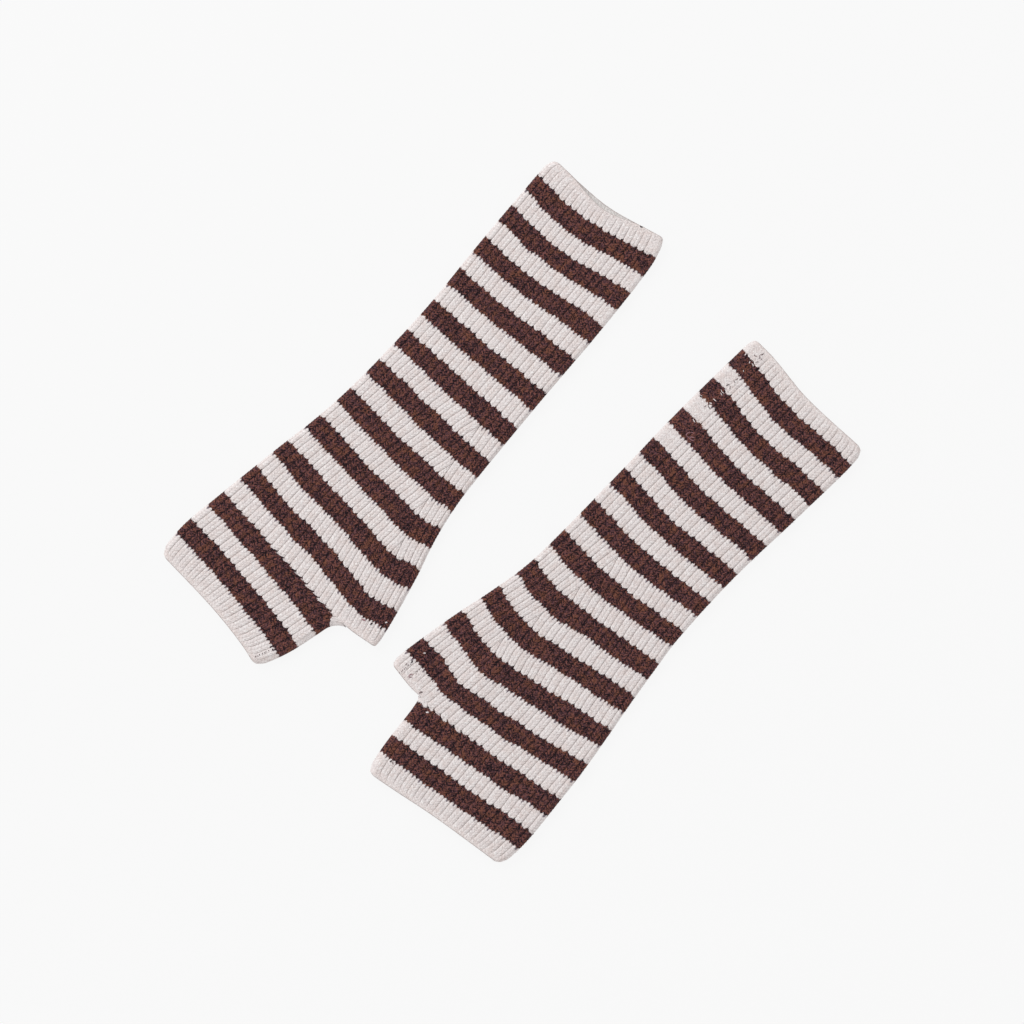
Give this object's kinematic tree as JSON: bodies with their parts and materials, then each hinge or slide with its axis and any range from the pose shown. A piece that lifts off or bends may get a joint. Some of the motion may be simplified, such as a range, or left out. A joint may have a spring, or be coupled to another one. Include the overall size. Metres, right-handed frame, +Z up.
{
  "type": "pair of wrist warmers",
  "caption": "Pair of long knitted wrist warmers in wide ribs with dark stripes, each a soft tube pressed flat, open at the arm, fingers and thumb.",
  "frame": {"origin": "centre of the pair's bounding box on the surface that both warmers lie on", "axes": "+X to the right and +Y away from the viewer as the pair is laid out, +Z up from the surface"},
  "size_m": [0.35, 0.3521, 0.0063],
  "materials": {
    "striped_wool_knit": "soft brushed wool, cream with dark brown stripes"
  },
  "bodies": {
    "root": {"right_hand_warmer": "striped_wool_knit", "left_hand_warmer": "striped_wool_knit"}
  },
  "joints": []
}
